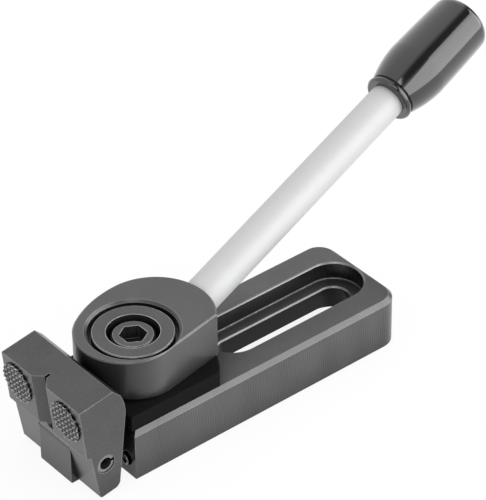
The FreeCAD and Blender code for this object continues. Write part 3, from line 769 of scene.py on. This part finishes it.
@dataclass
class BasePack(Pack):
    """The base with its slide plate, plate screws, springs, pivot bush and screw."""

    body: str = "base"
    finish_of: dict[str, str] = field(default_factory=lambda: {
        "base_body": "base",
        "slide_plate": "plate",
        "plate_screw_left": "screw",
        "plate_screw_right": "screw",
        "return_spring_left": "spring",
        "return_spring_right": "spring",
        "pivot_bush": "bush",
        "pivot_screw": "screw",
    })
    wire: float = 1.0 * MM
    wire_sides: int = 12
    steps_per_turn: int = 32
    live_turns: float = 4.5
    end_turns: float = 0.9
    end_pitch: float = 0.065

    @property
    def turns(self) -> float:
        """All the turns of a spring, its closed ends too."""
        return self.live_turns + 2.0 * self.end_turns

    def build(self, finishes: dict[str, bpy.types.Material]) -> None:
        """Dress the base's nodes and wind the springs.

        Args:
            finishes: The materials by the palette's names.
        """
        super().build(finishes)
        for side in Side:
            self.wind_coil(side, finishes["spring"])

    def wind_coil(self, side: Side, material: bpy.types.Material) -> None:
        """Wind a smooth return spring with closed ends in place of the light one.

        Args:
            side: The side that the spring is on.
            material: The spring's finish.
        """
        node = f"return_spring_{side.value}"
        low, high = (Vector(corner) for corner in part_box(node))
        mesh = bmesh.new()
        rings = [[mesh.verts.new(point) for point in ring] for ring in self.wire_rings(low, high)]
        for first, second in zip(rings, rings[1:]):
            for k in range(self.wire_sides):
                beside = (k + 1) % self.wire_sides
                mesh.faces.new((first[k], first[beside], second[beside], second[k]))
        mesh.faces.new(rings[0][::-1])
        mesh.faces.new(rings[-1])
        bmesh.ops.recalc_face_normals(mesh, faces=mesh.faces[:])
        data = bpy.data.meshes.new(f"return_coil_{side.value}")
        mesh.to_mesh(data)
        mesh.free()
        data.shade_smooth()
        coil = bpy.data.objects.new(f"return_coil_{side.value}", data)
        bpy.context.scene.collection.objects.link(coil)
        data.materials.append(material)
        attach(coil, self.body)
        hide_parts(node)
        log.info("%s rides on %s in %s", coil.name, self.body, material.name)

    def wire_rings(self, low: Vector, high: Vector) -> list[list[Vector]]:
        """The round sections of a spring's wire, from its first end to its last.

        Args:
            low: The lowest corner of the box that the spring fills.
            high: The box's highest corner.

        Returns:
            The points round the wire at each step.
        """
        thick = 0.5 * self.wire
        radius = 0.5 * (high.z - low.z) - thick
        middle = 0.5 * (low + high)
        length = high.x - low.x - self.wire
        steps = math.ceil(self.turns * self.steps_per_turn)
        round_wire = [2.0 * math.pi * k / self.wire_sides for k in range(self.wire_sides)]
        ahead = Vector((1.0, 0.0, 0.0))
        rings = []
        for step in range(steps + 1):
            turn = self.turns * step / steps
            angle = 2.0 * math.pi * turn
            out = Vector((0.0, math.cos(angle), math.sin(angle)))
            start = Vector((low.x + thick + length * self.climb(turn), middle.y, middle.z))
            centre = start + out * radius
            rings.append([centre + (out * math.cos(around) + ahead * math.sin(around)) * thick
                          for around in round_wire])
        return rings

    def climb(self, turn: float) -> float:
        """How far along the spring a turn is: slow in the closed ends, even between.

        Args:
            turn: Turns from the first end.

        Returns:
            A share of the spring's length, 0 to 1.
        """
        closed = self.end_turns * self.end_pitch
        rise = (1.0 - 2.0 * closed) / self.live_turns
        if turn < self.end_turns:
            return turn * self.end_pitch
        if turn > self.turns - self.end_turns:
            return 1.0 - (self.turns - turn) * self.end_pitch
        return closed + (turn - self.end_turns) * rise


@dataclass
class JawPack(Pack):
    """The hinged jaw with its serrated inserts and its pin."""

    body: str = "jaw"
    finish_of: dict[str, str] = field(default_factory=lambda: {
        "clamping_jaw": "jaw",
        "grip_insert_left": "insert",
        "grip_insert_right": "insert",
        "hinge_pin": "pin",
    })


@dataclass
class LeverPack(Pack):
    """The cam hub with the rod, the grip and the bush in the grip."""

    body: str = "lever"
    finish_of: dict[str, str] = field(default_factory=lambda: {
        "lever_hub": "hub",
        "lever_rod": "rod",
        "handle_grip": "grip",
        "grip_nut": "nut",
    })


@dataclass
class SoftBox:
    """One soft lamp that looks at the clamp. Its long side lies along one direction."""

    name: str
    toward: Triple
    reach: float
    size: tuple[float, float]
    brightness: float
    along: Triple = (1.0, 0.0, 0.0)
    sheen_only: bool = False

    def build(self, aim: Vector) -> None:
        """Hang the lamp.

        Args:
            aim: The point that it looks at.
        """
        data = bpy.data.lights.new(self.name, "AREA")
        data.shape = "RECTANGLE"
        data.size, data.size_y = self.size
        data.energy = self.brightness * math.pi * self.size[0] * self.size[1]
        lamp = bpy.data.objects.new(self.name, data)
        bpy.context.scene.collection.objects.link(lamp)
        way = Vector(self.toward).normalized()
        lamp.location = aim + way * self.reach
        side = Vector(self.along)
        side = (side - way * side.dot(way)).normalized()
        frame = Matrix((side, way.cross(side), way)).transposed()
        lamp.rotation_euler = frame.to_euler()
        lamp.visible_diffuse = not self.sheen_only


@dataclass
class Studio:
    """The floor, the world, the lamps and the camera.

    The world has a dark strip in gloss only. It runs square to gap_across, and fades
    between the two sines in gap_half. Camera angles are in degrees.
    """

    aim: Triple = (0.06, 0.0, 0.03)
    floor_size: float = 6.0
    floor_drop: float = 0.0001
    floor_colour: Triple = (0.95, 0.95, 0.95)
    floor_roughness: float = 0.9
    floor_specular: float = 0.1
    floor_glow: float = 0.90
    floor_gloss: float = 0.80
    world_light: float = 0.95
    gap_across: Triple = (0.280, -0.846, -0.454)
    gap_half: tuple[float, float] = (0.12, 0.40)
    gap_light: float = 0.10
    camera_place: Triple = (-0.5520, -0.7502, 0.7739)
    camera_turn: float = -39.004
    camera_rise: float = 36.423
    camera_roll: float = -0.813
    camera_clip: tuple[float, float] = (0.01, 20.0)
    lens: float = 218.35
    sensor: float = 36.0
    lamps: tuple[SoftBox, ...] = (
        SoftBox("side_box", toward=(0.584, -0.709, 0.395), reach=1.2, size=(2.6, 1.18),
                brightness=1.15, along=(0.95, 0.18, 0.26)),
        SoftBox("side_sheen", toward=(0.584, -0.709, 0.395), reach=1.19, size=(2.6, 1.18),
                brightness=1.15, along=(0.95, 0.18, 0.26), sheen_only=True),
        SoftBox("front_box", toward=(-0.88, -0.25, 0.55), reach=1.2, size=(0.7, 0.7),
                brightness=0.85),
        SoftBox("brow_sheen", toward=(-0.37, -0.44, 0.80), reach=1.3, size=(0.5, 0.5),
                brightness=3.0, sheen_only=True),
    )

    def build(self) -> None:
        """Set up everything that isn't the clamp."""
        self.lay_floor()
        self.light_world()
        for lamp in self.lamps:
            lamp.build(Vector(self.aim))
        self.set_camera()
        bpy.context.scene.view_settings.view_transform = "Standard"

    def lay_floor(self) -> None:
        """Lay a pale floor that keeps the clamp's shadow."""
        half = 0.5 * self.floor_size
        mesh = bpy.data.meshes.new("floor")
        edge = [(-half, -half), (half, -half), (half, half), (-half, half)]
        mesh.from_pydata([(x, y, -self.floor_drop) for x, y in edge], [], [(0, 1, 2, 3)])
        floor = bpy.data.objects.new("floor", mesh)
        bpy.context.scene.collection.objects.link(floor)
        desk = FinishDesk("pale_floor")
        desk.surface(self.floor_colour, 0.0, self.floor_roughness)
        desk.feed(desk.shader.inputs["Specular IOR Level"], self.floor_specular)
        glow = desk.add("ShaderNodeEmission")
        desk.feed(glow.inputs["Color"], WHITE)
        path = desk.add("ShaderNodeLightPath")
        seen = desk.product(path.outputs["Is Camera Ray"], self.floor_glow)
        seen = desk.math("MULTIPLY_ADD", path.outputs["Is Glossy Ray"], self.floor_gloss, seen)
        mix = desk.add("ShaderNodeMixShader")
        desk.feed(mix.inputs["Fac"], seen)
        desk.feed(mix.inputs[1], desk.shader.outputs["BSDF"])
        desk.feed(mix.inputs[2], glow.outputs["Emission"])
        out = desk.tree.nodes["Material Output"]
        desk.feed(out.inputs["Surface"], mix.outputs["Shader"])
        mesh.materials.append(desk.material)

    def light_world(self) -> None:
        """Make a plain pale world: white to the camera and in gloss, softer as light."""
        world = bpy.data.worlds.new("studio")
        bpy.context.scene.world = world
        world.use_nodes = True
        desk = NodeDesk(world.node_tree)
        way = desk.add("ShaderNodeTexCoord").outputs["Generated"]
        aside = desk.math("ABSOLUTE", desk.dot(way, Vector(self.gap_across).normalized()))
        gap = desk.span(aside, *self.gap_half, self.gap_light, 1.0, smooth=True)
        path = desk.add("ShaderNodeLightPath")
        in_view, in_gloss = path.outputs["Is Camera Ray"], path.outputs["Is Glossy Ray"]
        seen = desk.math("MAXIMUM", in_view, desk.product(in_gloss, gap))
        either = desk.math("MAXIMUM", in_view, in_gloss)
        other = desk.span(either, 0.0, 1.0, self.world_light, 0.0)
        ground = desk.tree.nodes["Background"]
        desk.feed(ground.inputs["Color"], WHITE)
        desk.feed(ground.inputs["Strength"], desk.math("ADD", seen, other))

    def set_camera(self) -> None:
        """Put the camera where the photograph was taken from."""
        data = bpy.data.cameras.new("camera")
        data.sensor_fit = "VERTICAL"
        data.sensor_height = self.sensor
        data.lens = self.lens
        data.clip_start, data.clip_end = self.camera_clip
        camera = bpy.data.objects.new("camera", data)
        bpy.context.scene.collection.objects.link(camera)
        turn = math.radians(self.camera_turn)
        rise = math.radians(self.camera_rise)
        roll = math.radians(self.camera_roll)
        level = Vector((math.cos(turn), math.sin(turn), 0.0))
        back = Vector((math.sin(turn) * math.cos(rise), -math.cos(turn) * math.cos(rise),
                       math.sin(rise)))
        right = level * math.cos(roll) + back.cross(level) * math.sin(roll)
        frame = Matrix((right, back.cross(right), back)).transposed().to_4x4()
        frame.translation = Vector(self.camera_place)
        camera.matrix_world = frame
        bpy.context.scene.camera = camera


def main() -> None:
    """Load the frame, dress every sub-assembly and set the studio."""
    logging.basicConfig(level=logging.INFO, format="%(name)s: %(message)s")
    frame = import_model()
    palette = Palette()
    finishes = {each.name: getattr(palette, each.name).build() for each in fields(palette)}
    nodes = frame["nodes"]
    for pack in (BasePack(nodes), JawPack(nodes), LeverPack(nodes)):
        pack.build(finishes)
    Studio().build()


if __name__ == "__main__":
    main()
